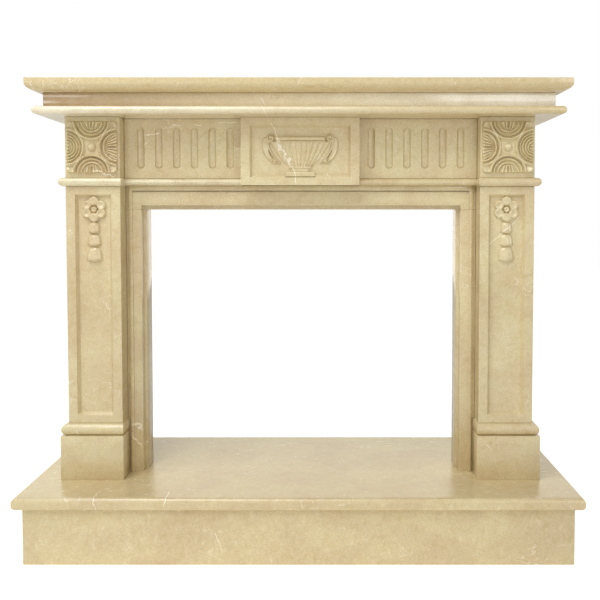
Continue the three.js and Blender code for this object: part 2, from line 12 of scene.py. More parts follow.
import bmesh
import bpy
import numpy as np
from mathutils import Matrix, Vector


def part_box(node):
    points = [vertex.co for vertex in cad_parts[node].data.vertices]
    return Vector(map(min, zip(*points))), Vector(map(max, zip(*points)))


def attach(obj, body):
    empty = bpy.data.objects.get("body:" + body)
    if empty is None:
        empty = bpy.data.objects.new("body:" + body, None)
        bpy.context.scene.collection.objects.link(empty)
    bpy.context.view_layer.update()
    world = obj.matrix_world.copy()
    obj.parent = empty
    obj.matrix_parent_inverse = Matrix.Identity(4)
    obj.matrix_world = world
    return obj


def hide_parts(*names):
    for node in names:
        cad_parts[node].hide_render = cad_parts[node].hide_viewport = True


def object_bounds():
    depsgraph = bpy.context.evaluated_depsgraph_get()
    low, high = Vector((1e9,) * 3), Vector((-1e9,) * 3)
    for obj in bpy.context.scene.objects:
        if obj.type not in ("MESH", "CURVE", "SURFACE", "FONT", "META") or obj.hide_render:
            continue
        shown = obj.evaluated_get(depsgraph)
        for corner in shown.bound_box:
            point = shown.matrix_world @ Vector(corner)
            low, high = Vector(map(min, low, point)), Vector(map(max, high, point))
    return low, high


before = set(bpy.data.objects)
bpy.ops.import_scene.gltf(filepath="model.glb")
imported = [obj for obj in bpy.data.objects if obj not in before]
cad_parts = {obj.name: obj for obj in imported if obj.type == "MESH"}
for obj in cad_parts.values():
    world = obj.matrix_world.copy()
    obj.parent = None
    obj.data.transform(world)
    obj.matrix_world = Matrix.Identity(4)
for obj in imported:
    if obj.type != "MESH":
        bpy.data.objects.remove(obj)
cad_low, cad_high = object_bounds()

MM = 0.001
print("frame box in metres", [round(v, 4) for v in cad_low], [round(v, 4) for v in cad_high])

# %% [markdown]
# ## The camera
#
# The photograph was taken a little right of the middle, about 0.9 m above the floor and 2.2 m in
# front of the hearth, with the camera tipped down by about two and a half degrees. A lens of
# 50 mm on a 36 mm sensor gives the same convergence of the hearth's edges. The picture is a crop,
# so a small shift puts its middle where it was.

# %% Camera at the photograph's viewpoint
PICTURE = 600
FOCAL_PIXELS = 840
CAMERA_PLACE = Vector((0.0833, -2.461, 0.919))
CAMERA_TIP = 0.045
VANISHING_X = 330.2
VANISHING_Y = 254.4
lens = bpy.data.cameras.new("photo_camera")
lens.sensor_width = 36
lens.lens = lens.sensor_width * FOCAL_PIXELS / PICTURE
lens.shift_x = -(VANISHING_X - PICTURE / 2) / PICTURE
lens.shift_y = (VANISHING_Y - PICTURE / 2) / PICTURE
camera = bpy.data.objects.new("photo_camera", lens)
camera.location = CAMERA_PLACE
camera.rotation_euler = (math.pi / 2 - CAMERA_TIP, 0, 0)
bpy.context.scene.collection.objects.link(camera)
bpy.context.scene.camera = camera
print("lens", round(lens.lens, 1), "mm, shift", round(lens.shift_x, 4), round(lens.shift_y, 4))

# %% [markdown]
# ## A small kit for materials
#
# Blender's shader is a graph of nodes. One helper adds any node, sets its options and inputs and
# joins its links, so that the recipe of a stone reads as a list. Colours are picked as sRGB hex
# values, as on a screen, and the shader wants linear light, so one function turns them.


# %% Helpers for nodes and colours
def linear(hex_colour):
    """An sRGB hex colour as linear red, green, blue and alpha."""
    channels = [int(hex_colour[i:i + 2], 16) / 255 for i in (1, 3, 5)]
    light = [c / 12.92 if c <= 0.04045 else ((c + 0.055) / 1.055) ** 2.4 for c in channels]
    return (*light, 1.0)


def add_node(tree, kind, settings=None, **inputs):
    """Adds a node. An input is a value, or an output socket of another node to link to it."""
    node = tree.nodes.new(kind)
    for name, value in (settings or {}).items():
        setattr(node, name, value)
    for name, value in inputs.items():
        key = int(name[1:]) if name[0] == "i" and name[1:].isdigit() else name.replace("_", " ")
        socket = node.inputs[key]
        if isinstance(value, bpy.types.NodeSocket):
            tree.links.new(value, socket)
        else:
            socket.default_value = value
    return node


# %% [markdown]
# ## The stone: polished cream marble
#
# The stone is a cream limestone marble: lime mud and shell sand set hard, with darker clouds about
# two hands wide, patches of honey and pale cream a thumb wide, a fine sugary speckle, hair-thin
# white calcite veins where cracks healed, and a few golden veins stained by iron. It was ground
# and polished until it reflects a window softly, and the hearth a little less than the mantel.
# Calcite splits light between the indices 1.49 and 1.66, so one value between them stands for it.
#
# Each stone was sawn from another place in the block, so the pattern is shifted and turned for
# each one. A vein is drawn where a smooth noise crosses its middle value: that line wanders and
# closes on itself as a healed crack does. A second noise fades it in and out. The broad veins
# that the photograph shows are drawn one by one. A few long slabs also get a colour that runs
# from one end to the other. On the band this is painted shade at the left end and painted
# reflection toward the right, on the bed slab a painted highlight at the left end, and the shelf
# is only a little lighter at its left end.

# %% Colours and sizes of the marble's pattern
CREAM = "#dbcda3"
PALE_CREAM = "#e4dab8"
ROSE_CREAM = "#cfb992"
HONEY = "#c9b37c"
CALCITE = "#f7f0dd"
IRON_STAIN = "#b8995c"
HEARTH_CREAM = "#dbcb9f"
CLOUD_WIDTH = 200 * MM
PATCH_WIDTH = 22 * MM
SPECKLE_WIDTH = 3.2 * MM
VEIN_SPACING = 160 * MM
STAIN_SPACING = 260 * MM
POLISH_ROUGHNESS = 0.11
HEARTH_ROUGHNESS = 0.26
ROUGHNESS_SPREAD = 0.02
CALCITE_IOR = 1.58
# Where a tone run starts and ends along x. On the band and the bed slab the run is painted light.
TONE_RUN_LEFT, TONE_RUN_RIGHT = -0.75, 0.7
RIPPLE_STRENGTH, RIPPLE_HEIGHT = 0.08, 0.4 * MM

# A noise keeps near its middle value, 0.5, so a mask is made from the range that it does use.
CLOUD_LOW, CLOUD_HIGH = 0.38, 0.62
NOISE_LOW, NOISE_HIGH = 0.3, 0.7
VEIN_WIDTH, VEIN_PATCHES, VEIN_STRENGTH = 0.005, 0.53, 0.85
STAIN_WIDTH, STAIN_PATCHES, STAIN_STRENGTH = 0.008, 0.52, 0.28
STAIN_PLACE = 4.1
MOTTLE_SHARE, TONE_RUN_MOTTLE_SHARE, TONE_RUN_CLOUD_SHARE = 0.33, 0.25, 0.4
SPECKLE_DARK, SPECKLE_LIGHT = 0.9, 1.08

# A broad vein, in half widths: how far it wanders, its solid core, its edge and its pointed ends.
CRACK_WANDER, CRACK_CORE, CRACK_EDGE, CRACK_POINT = 2.6, 0.45, 1.25, 6
WOBBLES_A_METRE = 45.0
RIGHT_THROUGH, VEIN_FADE = 300 * MM, 30 * MM


def wandering_line(tree, place, spacing, width, shift, patchiness):
    """A mask that is 1 on thin wandering lines and fades along them."""
    moved = add_node(tree, "ShaderNodeVectorMath", {"operation": "ADD"}, i0=place, i1=(shift,) * 3)
    waves = add_node(tree, "ShaderNodeTexNoise", None,
                     Vector=moved.outputs[0], Scale=1 / spacing, Detail=5.0, Roughness=0.55,
                     Distortion=0.6)
    off_middle = add_node(tree, "ShaderNodeMath", {"operation": "SUBTRACT"},
                          i0=waves.outputs["Fac"], i1=0.5)
    gap = add_node(tree, "ShaderNodeMath", {"operation": "ABSOLUTE"}, i0=off_middle.outputs[0])
    line = add_node(tree, "ShaderNodeMapRange", {"interpolation_type": "SMOOTHSTEP"},
                    Value=gap.outputs[0], From_Min=0.0, From_Max=width, To_Min=1.0, To_Max=0.0)
    fading = add_node(tree, "ShaderNodeTexNoise", None,
                      Vector=moved.outputs[0], Scale=1.7 / spacing, Detail=2.0)
    kept = add_node(tree, "ShaderNodeMapRange", {"interpolation_type": "SMOOTHSTEP"},
                    Value=fading.outputs["Fac"], From_Min=patchiness, From_Max=patchiness + 0.12)
    both = add_node(tree, "ShaderNodeMath", {"operation": "MULTIPLY"},
                    i0=line.outputs[0], i1=kept.outputs[0])
    return both.outputs[0]


def healed_crack(tree, place, start, end, half_width, vein_depth=RIGHT_THROUGH):
    """A mask for one broad white vein from start to end, given as (x, z) on the stone's face.

    It runs back into the stone as far as the vein depth, counted from the hearth's front edge.
    """
    along = Vector((end[0] - start[0], 0, end[1] - start[1]))
    length = along.length
    along.normalize()
    across = Vector((along.z, 0, -along.x))
    from_start = add_node(tree, "ShaderNodeVectorMath", {"operation": "SUBTRACT"},
                          i0=place, i1=(start[0], 0, start[1]))
    run = add_node(tree, "ShaderNodeVectorMath", {"operation": "DOT_PRODUCT"},
                   i0=from_start.outputs[0], i1=along)
    side = add_node(tree, "ShaderNodeVectorMath", {"operation": "DOT_PRODUCT"},
                    i0=from_start.outputs[0], i1=across)
    wobble = add_node(tree, "ShaderNodeTexNoise", None, Vector=place, Scale=WOBBLES_A_METRE,
                      Detail=4.0)
    wobble_size = add_node(tree, "ShaderNodeMapRange", None, Value=wobble.outputs["Fac"],
                           From_Min=NOISE_LOW, From_Max=NOISE_HIGH,
                           To_Min=-CRACK_WANDER * half_width, To_Max=CRACK_WANDER * half_width)
    bent = add_node(tree, "ShaderNodeMath", {"operation": "ADD"},
                    i0=side.outputs["Value"], i1=wobble_size.outputs[0])
    gap = add_node(tree, "ShaderNodeMath", {"operation": "ABSOLUTE"}, i0=bent.outputs[0])
    line = add_node(tree, "ShaderNodeMapRange", {"interpolation_type": "SMOOTHSTEP"},
                    Value=gap.outputs[0], From_Min=half_width * CRACK_CORE,
                    From_Max=half_width * CRACK_EDGE, To_Min=1.0, To_Max=0.0)
    centred = add_node(tree, "ShaderNodeMath", {"operation": "SUBTRACT"},
                       i0=run.outputs["Value"], i1=length / 2)
    reach = add_node(tree, "ShaderNodeMath", {"operation": "ABSOLUTE"}, i0=centred.outputs[0])
    ends = add_node(tree, "ShaderNodeMapRange", {"interpolation_type": "SMOOTHSTEP"},
                    Value=reach.outputs[0], From_Min=length / 2 - CRACK_POINT * half_width,
                    From_Max=length / 2, To_Min=1.0, To_Max=0.0)
    both = add_node(tree, "ShaderNodeMath", {"operation": "MULTIPLY"},
                    i0=line.outputs[0], i1=ends.outputs[0])
    into_stone = add_node(tree, "ShaderNodeSeparateXYZ", None, Vector=place)
    depth = add_node(tree, "ShaderNodeMapRange", {"interpolation_type": "SMOOTHSTEP"},
                     Value=into_stone.outputs["Y"], From_Min=cad_low.y + vein_depth - VEIN_FADE,
                     From_Max=cad_low.y + vein_depth, To_Min=1.0, To_Max=0.0)
    return add_node(tree, "ShaderNodeMath", {"operation": "MULTIPLY"},
                    i0=both.outputs[0], i1=depth.outputs[0]).outputs[0]


def polished_marble(name, shift, turn=0.0, ground=CREAM, cracks=(), tone_run=None,
                    roughness=POLISH_ROUGHNESS):
    """Polished cream marble, cut from its own place in the block by shift and turn.

    A tone run is two or three colours that the stone runs through, from its left end to its
    right. On the band and the bed slab it is painted light: painted shade, painted reflection
    and a painted highlight.
    """
    marble = bpy.data.materials.new(name)
    marble.use_nodes = True
    tree = marble.node_tree
    tree.nodes.clear()
    coordinates = add_node(tree, "ShaderNodeTexCoord")
    place = coordinates.outputs["Object"]
    cut = add_node(tree, "ShaderNodeMapping", None, Vector=place, Location=shift,
                   Rotation=(0.3 * turn, turn, 0.2 * turn)).outputs[0]

    clouds = add_node(tree, "ShaderNodeTexNoise", None, Vector=cut,
                      Scale=1 / CLOUD_WIDTH, Detail=3.0, Roughness=0.5, Distortion=0.8)
    patches = add_node(tree, "ShaderNodeTexNoise", None, Vector=cut,
                       Scale=1 / PATCH_WIDTH, Detail=6.0, Roughness=0.62, Distortion=0.5)
    base = linear(ground)
    # A tone run: on the band painted shade at the left end and painted reflection toward the right,
    # on the bed slab a painted highlight at the left end.
    if tone_run:
        run = add_node(tree, "ShaderNodeSeparateXYZ", None, Vector=place)
        share = add_node(tree, "ShaderNodeMapRange", None, Value=run.outputs["X"],
                         From_Min=TONE_RUN_LEFT, From_Max=TONE_RUN_RIGHT)
        tone_ramp = add_node(tree, "ShaderNodeValToRGB", None, Fac=share.outputs[0])
        tone_stops = tone_ramp.color_ramp.elements
        tone_stops[0].color, tone_stops[1].color = linear(tone_run[0]), linear(tone_run[-1])
        if len(tone_run) == 3:
            tone_stops.new(0.5).color = linear(tone_run[1])
        base = tone_ramp.outputs["Color"]
    cloud_share = add_node(tree, "ShaderNodeMapRange", None, Value=clouds.outputs["Fac"],
                           From_Min=CLOUD_LOW, From_Max=CLOUD_HIGH,
                           To_Max=TONE_RUN_CLOUD_SHARE if tone_run else 1.0)
    tone = add_node(tree, "ShaderNodeMix", {"data_type": "RGBA"}, Factor=cloud_share.outputs[0],
                    i6=base, i7=linear(ROSE_CREAM))
    ramp = add_node(tree, "ShaderNodeValToRGB", None, Fac=patches.outputs["Fac"])
    stops = ramp.color_ramp.elements
    stops[0].position, stops[0].color = NOISE_LOW, linear(HONEY)
    stops[1].position, stops[1].color = NOISE_HIGH, linear(PALE_CREAM)
    stops.new(0.5).color = linear(ground)
    mottled = add_node(tree, "ShaderNodeMix", {"data_type": "RGBA"},
                       Factor=TONE_RUN_MOTTLE_SHARE if tone_run else MOTTLE_SHARE,
                       i6=tone.outputs[2], i7=ramp.outputs["Color"])

    speckle = add_node(tree, "ShaderNodeTexNoise", None, Vector=cut,
                       Scale=1 / SPECKLE_WIDTH, Detail=2.0)
    speckle_shade = add_node(tree, "ShaderNodeMapRange", None, Value=speckle.outputs["Fac"],
                             From_Min=NOISE_LOW, From_Max=NOISE_HIGH,
                             To_Min=SPECKLE_DARK, To_Max=SPECKLE_LIGHT)
    speckled = add_node(tree, "ShaderNodeVectorMath", {"operation": "SCALE"},
                        i0=mottled.outputs[2], Scale=speckle_shade.outputs[0])

    stain = wandering_line(tree, cut, STAIN_SPACING, STAIN_WIDTH, STAIN_PLACE, STAIN_PATCHES)
    stained = add_node(tree, "ShaderNodeMix", {"data_type": "RGBA"},
                       Factor=add_node(tree, "ShaderNodeMath", {"operation": "MULTIPLY"},
                                       i0=stain, i1=STAIN_STRENGTH).outputs[0],
                       i6=speckled.outputs[0], i7=linear(IRON_STAIN))
    fine_veins = wandering_line(tree, cut, VEIN_SPACING, VEIN_WIDTH, 0.0, VEIN_PATCHES)
    veins = add_node(tree, "ShaderNodeMath", {"operation": "MULTIPLY"},
                     i0=fine_veins, i1=VEIN_STRENGTH).outputs[0]
    for start, end, half_width, *vein_depth in cracks:
        crack = healed_crack(tree, place, start, end, half_width, *vein_depth)
        veins = add_node(tree, "ShaderNodeMath", {"operation": "MAXIMUM"},
                         i0=veins, i1=crack).outputs[0]
    veined = add_node(tree, "ShaderNodeMix", {"data_type": "RGBA"},
                      Factor=add_node(tree, "ShaderNodeMath", {"operation": "MULTIPLY"},
                                      i0=veins, i1=VEIN_STRENGTH).outputs[0],
                      i6=stained.outputs[2], i7=linear(CALCITE))

    gloss = add_node(tree, "ShaderNodeMapRange", None, Value=patches.outputs["Fac"],
                     From_Min=NOISE_LOW, From_Max=NOISE_HIGH,
                     To_Min=roughness - ROUGHNESS_SPREAD, To_Max=roughness + ROUGHNESS_SPREAD)
    ripple = add_node(tree, "ShaderNodeBump", None, Height=patches.outputs["Fac"],
                      Strength=RIPPLE_STRENGTH, Distance=RIPPLE_HEIGHT)
    shader = add_node(tree, "ShaderNodeBsdfPrincipled", None,
                      Base_Color=veined.outputs[2], Roughness=gloss.outputs[0],
                      IOR=CALCITE_IOR, Normal=ripple.outputs[0])
    add_node(tree, "ShaderNodeOutputMaterial", None, Surface=shader.outputs[0])
    return marble


# %% [markdown]
# Some stones have marks of their own in the photograph. A broad vein is written by its start and
# end in metres, its half width and, where it is short, its depth. A tone run is written by the
# colours that the slab runs through; on the band and the bed slab it is painted light. Two stones
# at the left get a paler ground, which is a painted highlight.

# %% Marks that single stones have, and their painted light
CRACKS = {
    "jamb_left": [((-0.494, 0.334), (-0.448, 0.300), 4.2 * MM),
                  ((-0.492, 0.300), (-0.452, 0.252), 3.4 * MM)],
    "hearth_slab": [((-0.529, 0.148), (-0.534, 0.192), 1.5 * MM, 70 * MM),
                    ((-0.349, 0.160), (-0.344, 0.205), 1.5 * MM, 70 * MM)],
    "bed_slab": [((-0.100, 1.217), (-0.088, 1.190), 1.2 * MM)],
    "hearth_riser_front": [((-0.220, 0.088), (-0.200, 0.032), 0.9 * MM)],
    "corner_block_left": [((-0.578, 1.047), (-0.508, 1.030), 2 * MM)],
    "frieze_panel_left": [((-0.444, 1.145), (-0.396, 1.154), 1.3 * MM),
                          ((-0.428, 1.135), (-0.447, 1.117), 1.1 * MM),
                          ((-0.365, 1.178), (-0.335, 1.175), 1.0 * MM),
                          ((-0.301, 1.178), (-0.275, 1.173), 1.0 * MM),
                          ((-0.234, 1.182), (-0.175, 1.184), 1.0 * MM)],
    "pilaster_shaft_right": [((0.525, 0.839), (0.613, 0.921), 1.0 * MM)],
    "cornice_band_front": [((-0.105, 1.246), (-0.092, 1.217), 1.1 * MM),
                           ((0.16, 1.222), (0.24, 1.248), 0.9 * MM),
                           ((0.42, 1.217), (0.425, 1.250), 1.2 * MM)],
}
TONE_RUNS_AND_PAINTED_LIGHT = {
    # Painted shade at the band's left end, under the shelf, and painted reflection toward its right
    # end.
    "cornice_band_front": ("#93580c", "#fbefcd", "#fffcf2"),
    # Painted highlight: pale at the left end, as from a lamp above at the left, darker toward the
    # right.
    "bed_slab": ("#f6eed9", "#e2d5b4", "#d3bf90"),
    # The shelf is a little lighter at its left end than at its right.
    "mantel_shelf": ("#d4c294", "#d0bb8e"),
}
# A paler ground on these two stones is a painted highlight, as from a lamp above at the left.
PAINTED_HIGHLIGHT_STONES = ("collar_left", "string_course_left")


def marble_for(node, shift, turn):
    """The marble of one stone, with its veins and any tone run and painted highlight."""
    is_hearth = node.startswith("hearth")
    ground = PALE_CREAM if node in PAINTED_HIGHLIGHT_STONES else HEARTH_CREAM if is_hearth else CREAM
    return polished_marble(f"polished_cream_marble_{node}", shift, turn, ground,
                           CRACKS.get(node, ()), TONE_RUNS_AND_PAINTED_LIGHT.get(node),
                           HEARTH_ROUGHNESS if is_hearth else POLISH_ROUGHNESS)


# %% [markdown]
# ## How a stone is finished and set
#
# Whatever way a stone is made, the last steps are the same: its normals face outward, sharp
# arrises stay crisp while mouldings shade smoothly, it gets its marble, and it is set in the
# place of the plain solid of the same name. Carving is rounder than sawn work, so its folds must
# be sharper before they count as crisp.

# %% Finish a stone and set it
CRISP_ANGLE = math.radians(32)
CARVED_CRISP_ANGLE = math.radians(48)
triangle_total = 0


def set_stone(node, bm, marble, crisp=CRISP_ANGLE):
    """Turns a bmesh into the finished piece that stands for a node."""
    global triangle_total
    bmesh.ops.recalc_face_normals(bm, faces=bm.faces)
    for face in bm.faces:
        face.smooth = True
    for edge in bm.edges:
        edge.smooth = edge.calc_face_angle(0.0) < crisp
    triangles = sum(len(face.verts) - 2 for face in bm.faces)
    triangle_total += triangles
    mesh = bpy.data.meshes.new(node + "_stone")
    bm.to_mesh(mesh)
    bm.free()
    mesh.materials.append(marble)
    piece = bpy.data.objects.new(node + "_stone", mesh)
    bpy.context.scene.collection.objects.link(piece)
    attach(piece, "root")
    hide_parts(node)
    print(f"{node}: {triangles} triangles")


# %% [markdown]
# ## Plain stones: sawn slabs with eased arrises
#
# The riser slabs, plinths, jambs, lintel and plain band are sawn, so their shape is already that
# of the solid. A mason rubs every sharp arris with a stone to a soft edge just under a
# millimetre wide, which is what catches the light, and less where two stones meet flush. The
# solid's loose triangles are merged to whole faces first, and then a bevel does the rubbing.

# %% A sawn stone with eased arrises
ARRIS = 0.9 * MM
TIGHT_ARRIS = 0.35 * MM
SAME_POINT = 0.01 * MM
SAME_PLANE = math.radians(1)
SHARP_ARRIS = math.radians(30)


def sawn_stone(node, marble, arris=ARRIS):
    """The solid's own faces, with every sharp arris rubbed down."""
    bm = bmesh.new()
    bm.from_mesh(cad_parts[node].data)
    bmesh.ops.remove_doubles(bm, verts=bm.verts, dist=SAME_POINT)
    bmesh.ops.dissolve_limit(bm, angle_limit=SAME_PLANE, verts=bm.verts, edges=bm.edges)
    arrises = [edge for edge in bm.edges if edge.calc_face_angle(0.0) > SHARP_ARRIS]
    bmesh.ops.bevel(bm, geom=arrises, offset=arris, offset_type="OFFSET", affect="EDGES",
                    segments=2, profile=0.5, material=-1, clamp_overlap=True)
    set_stone(node, bm, marble)


PLAIN_STONES = [
    "hearth_riser_front", "hearth_riser_left", "hearth_riser_right", "hearth_riser_back",
    "plinth_block_left", "plinth_block_right", "jamb_left", "jamb_right", "lintel",
    "cornice_band_front", "cornice_band_left", "cornice_band_right",
    "side_return_left", "side_return_right",
]
for number, node in enumerate(PLAIN_STONES):
    marble = marble_for(node, (1.7 * number, 0.9 * number, 0.4), 0.7 * number)
    meets_flush = node.startswith(("jamb", "lintel"))
    sawn_stone(node, marble, TIGHT_ARRIS if meets_flush else ARRIS)

# %% [markdown]
# ## Moulded stones: one profile run round the plan
#
# A cutter wheel runs along the front of a slab and back along its sides, and leaves the same
# profile everywhere, with sharp mitres at the corners. Here the stone grows from its foot. A ring
# of corners is the plan, each corner knows which way the profile pushes it, and the ring is
# extruded up once for each step of the profile.

# %% Grow a moulded stone from its plan
STEPS_A_QUARTER = 10


def curve_steps(out, up, reach_out, reach_up, start, end):
    """Steps (how far out, how far up) along an ellipse, from angle start to end in degrees."""
    count = max(2, round(STEPS_A_QUARTER * abs(end - start) / 90))
    angles = [math.radians(start + (end - start) * i / count) for i in range(count + 1)]
    return [(out + reach_out * math.cos(a), up + reach_up * math.sin(a)) for a in angles]


def bullnose(out, thick):
    """A full half round over the whole thickness, that stands out by out."""
    return curve_steps(out - thick / 2, thick / 2, thick / 2, thick / 2, -90, 90)


def moulded_stone(node, marble, corners, profile):
    """Corners are (x, y, push in x, push in y), in order round the plan."""
    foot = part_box(node)[0].z
    bm = bmesh.new()
    which = bm.verts.layers.int.new("corner")
    ring_corners = bmesh.ops.create_circle(bm, segments=len(corners), radius=1)["verts"]
    for index, corner in enumerate(ring_corners):
        corner[which] = index

    def push(ring_verts, out, up):
        for vert in ring_verts:
            x, y, push_x, push_y = corners[vert[which]]
            vert.co = (x + out * push_x, y + out * push_y, foot + up)

    ring = list(bm.edges)
    push(bm.verts, *profile[0])
    for out, up in profile[1:]:
        grown = bmesh.ops.extrude_edge_only(bm, edges=ring)["geom"]
        ring = [item for item in grown
                if isinstance(item, bmesh.types.BMEdge) and len(item.link_faces) == 1]
        push({vert for edge in ring for vert in edge.verts}, out, up)
    open_edges = [edge for edge in bm.edges if len(edge.link_faces) == 1]
    bmesh.ops.holes_fill(bm, edges=open_edges, sides=0)
    bm.verts.layers.int.remove(which)
    set_stone(node, bm, marble)


def slab_corners(node, reach, at_sides=1):
    """The plan of a slab whose profile runs round its front and, if at_sides is 1, its sides."""
    low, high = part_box(node)
    side = reach * at_sides
    left, right, front, back = low.x + side, high.x - side, low.y + reach, high.y
    return [(left, front, -at_sides, -1), (right, front, at_sides, -1),
            (right, back, at_sides, 0), (left, back, -at_sides, 0)]


def pilaster_corners(node, shaft, profile, meeting_plane):
    """The plan of a stone of a pilaster. On the inner side it stands out a little, in front only."""
    low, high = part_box(node)
    shaft_low, shaft_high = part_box(shaft)
    reach = max(out for out, up in profile)
    least = min(out for out, up in profile)
    outer_is_left = shaft_low.x < 0
    way = 1 if outer_is_left else -1
    outer = low.x + reach if outer_is_left else high.x - reach
    inner = shaft_high.x if outer_is_left else shaft_low.x
    stands_out = high.x - inner if outer_is_left else inner - low.x
    share = stands_out / (reach - least)
    return [(outer, low.y + reach, -way, -1),
            (inner - way * least * share, low.y + reach, way * share, -1),
            (inner - way * least * share, meeting_plane, way * share, 0),
            (inner, meeting_plane, 0, 0), (inner, high.y, 0, 0), (outer, high.y, -way, 0)]


# %% [markdown]
# The hearth slab has a rounded nose and the thin bed slab a full half round. The shelf has a
# short upright fillet with a fat quarter round under it. The collars and the bases of the shafts
# are full half rounds, and they stand out a little on the inner side too, up to the stone that
# they meet there. The string course is a shallow half round between collar and tablet.

# %% The moulded stones and their profiles
HEARTH_THICK, HEARTH_NOSE = 35 * MM, 14 * MM
BED_THICK, BED_OUT = 22 * MM, 68.5 * MM
BAND_OUT = 44 * MM
SHELF_OUT = 82 * MM
SHELF_THICK, SHELF_FILLET = 35 * MM, 14.5 * MM
COLLAR_THICK, COLLAR_OUT = 23.5 * MM, 16 * MM
BASE_THICK, BASE_OUT = 32.5 * MM, 17 * MM
STRING_THICK, STRING_OUT = 20 * MM, 14 * MM
JOINT = 0.3 * MM

hearth_profile = (
    curve_steps(0, HEARTH_NOSE, HEARTH_NOSE, HEARTH_NOSE, -90, 0)
    + curve_steps(0, HEARTH_THICK - HEARTH_NOSE, HEARTH_NOSE, HEARTH_NOSE, 0, 90)
)
shelf_round = SHELF_THICK - SHELF_FILLET
shelf_profile = (
    curve_steps(BAND_OUT, shelf_round, SHELF_OUT - BAND_OUT, shelf_round, -90, 0)
    + [(SHELF_OUT, SHELF_THICK - ARRIS), (SHELF_OUT - ARRIS, SHELF_THICK)]
)
string_profile = curve_steps(0, STRING_THICK / 2, STRING_OUT, STRING_THICK / 2, -90, 90)
collar_profile = bullnose(COLLAR_OUT, COLLAR_THICK)
base_profile = bullnose(BASE_OUT, BASE_THICK)
jamb_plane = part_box("jamb_left")[0].y - JOINT
string_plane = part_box("string_course_left")[0].y - JOINT

moulded_stones = [
    ("hearth_slab", slab_corners("hearth_slab", HEARTH_NOSE), hearth_profile),
    ("bed_slab", slab_corners("bed_slab", BED_OUT), bullnose(BED_OUT, BED_THICK)),
    ("mantel_shelf", slab_corners("mantel_shelf", SHELF_OUT), shelf_profile),
]
for side in ("left", "right"):
    shaft, collar, base, string = (
        f"{name}_{side}" for name in ("pilaster_shaft", "collar", "base_moulding", "string_course"))
    moulded_stones += [
        (collar, pilaster_corners(collar, shaft, collar_profile, string_plane), collar_profile),
        (base, pilaster_corners(base, shaft, base_profile, jamb_plane), base_profile),
        (string, slab_corners(string, STRING_OUT, 0), string_profile),
    ]
for number, (node, corners, profile) in enumerate(moulded_stones):
    marble = marble_for(node, (0.6, 2.3 * number, 1.1 * number), 0.4 * number)
    moulded_stone(node, marble, corners, profile)

# %% [markdown]
# ## Carved stones: a face worked down from the front
#
# A carver draws the design on the polished face and cuts back from it, so every point of the
# carving has one depth. That is a height field: a fine grid of points, each moved in or out by a
# formula made from simple forms. The grid's lines are gathered where the carving is sharp. Then
# the grid's border is extruded back to the wall side and closed, which makes a whole stone.


# %% Grid lines, gathered where they are needed
LINES_BESIDE = np.array([-1.5, -0.9, -0.4, 0.0, 0.4, 0.9, 1.5]) * MM
CLOSEST_LINES = 0.25 * MM
CARVING_STEP, PATERA_STEP = 1.15 * MM, 1.1 * MM
FRIEZE_STEP, FRIEZE_STEP_UP = 1.4 * MM, 1.6 * MM


def lines(start, end, step, sharp=()):
    """Places of grid lines from start to end, with extra ones beside each sharp place."""
    count = max(2, round((end - start) / step))
    places = [np.linspace(start, end, count + 1)]
    for spot in (start, end, *sharp):
        places.append(spot + LINES_BESIDE)
    every = np.unique(np.round(np.concatenate(places), 6))
    every = every[(every >= start) & (every <= end)]
    kept = [every[0]]
    for place in every[1:-1]:
        if place - kept[-1] > CLOSEST_LINES and every[-1] - place > CLOSEST_LINES:
            kept.append(place)
    return np.array(kept + [every[-1]])


def eased_border(x, z, low, high, radius):
    """How far the arris round the face is rubbed down."""
    inside = np.minimum(np.minimum(x - low.x, high.x - x), np.minimum(z - low.z, high.z - z))
    lack = np.clip(radius - inside, 0, radius)
    return radius - np.sqrt(np.clip(radius ** 2 - lack ** 2, 0, None))


def carved_stone(node, marble, face_y, columns, rows, relief):
    """A stone whose front face is at face_y and stands out there by relief(x, z)."""
    low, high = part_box(node)
    bm = bmesh.new()
    bmesh.ops.create_grid(bm, x_segments=len(columns) - 1, y_segments=len(rows) - 1, size=0.5)
    flat = np.array([corner.co[:2] for corner in bm.verts])
    x = columns[np.rint((flat[:, 0] + 0.5) * (len(columns) - 1)).astype(int)]
    z = rows[np.rint((flat[:, 1] + 0.5) * (len(rows) - 1)).astype(int)]
    out = relief(x, z) - eased_border(x, z, low, high, ARRIS)
    for corner, across, forward, up in zip(bm.verts, x, face_y - out, z):
        corner.co = (across, forward, up)
    border = [edge for edge in bm.edges if edge.is_boundary]
    grown = bmesh.ops.extrude_edge_only(bm, edges=border)["geom"]
    for item in grown:
        if isinstance(item, bmesh.types.BMVert):
            item.co.y = high.y
    open_edges = [edge for edge in bm.edges if edge.is_boundary]
    bmesh.ops.holes_fill(bm, edges=open_edges, sides=0)
    set_stone(node, bm, marble, CARVED_CRISP_ANGLE)


# %% [markdown]
# ### Forms that the carver's gouge leaves
#
# Most carving is made from a few cuts: a wall that steps down, a rounded rope, and a sunk panel
# with a sloping wall. Each is a function from a distance to a height between 0 and 1.


# %% Carver's forms
def step_up(distance, width):
    """0 before an edge, 1 after it, with a soft S between over the width."""
    share = np.clip(distance / width + 0.5, 0, 1)
    return share * share * (3 - 2 * share)


def rope(distance, half_width):
    """A half-round ridge centred where distance is 0."""
    return np.sqrt(np.clip(1 - (distance / half_width) ** 2, 0, None))


def sunk_panel(x, z, half_wide, half_high, slope):
    """1 on the floor of a sunk panel, 0 outside it, with a straight sloping wall."""
    inside = np.minimum(half_wide - np.abs(x), half_high - np.abs(z))
    return np.clip(inside / slope, 0, 1)


shaft_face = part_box("collar_left")[0].y + COLLAR_OUT
print("pilaster faces stand at y =", round(shaft_face, 4))

# %% [markdown]
# ### The patera blocks
#
# A square plate stands out from each corner block. Four shells bite into its sides, and what is
# left between them is a saltire: a cross of hollow arms with raised rims, flaring to the corners,
# and a round boss in its middle. Each shell is a nest of rings round the middle of a side with
# ribs inside them, that spread from the rings' crown to the side, and a slit down the middle. The
# shell toward the fireplace is mostly ribs and the outer one mostly rings: a carver who works by
# eye doesn't repeat one drawing.

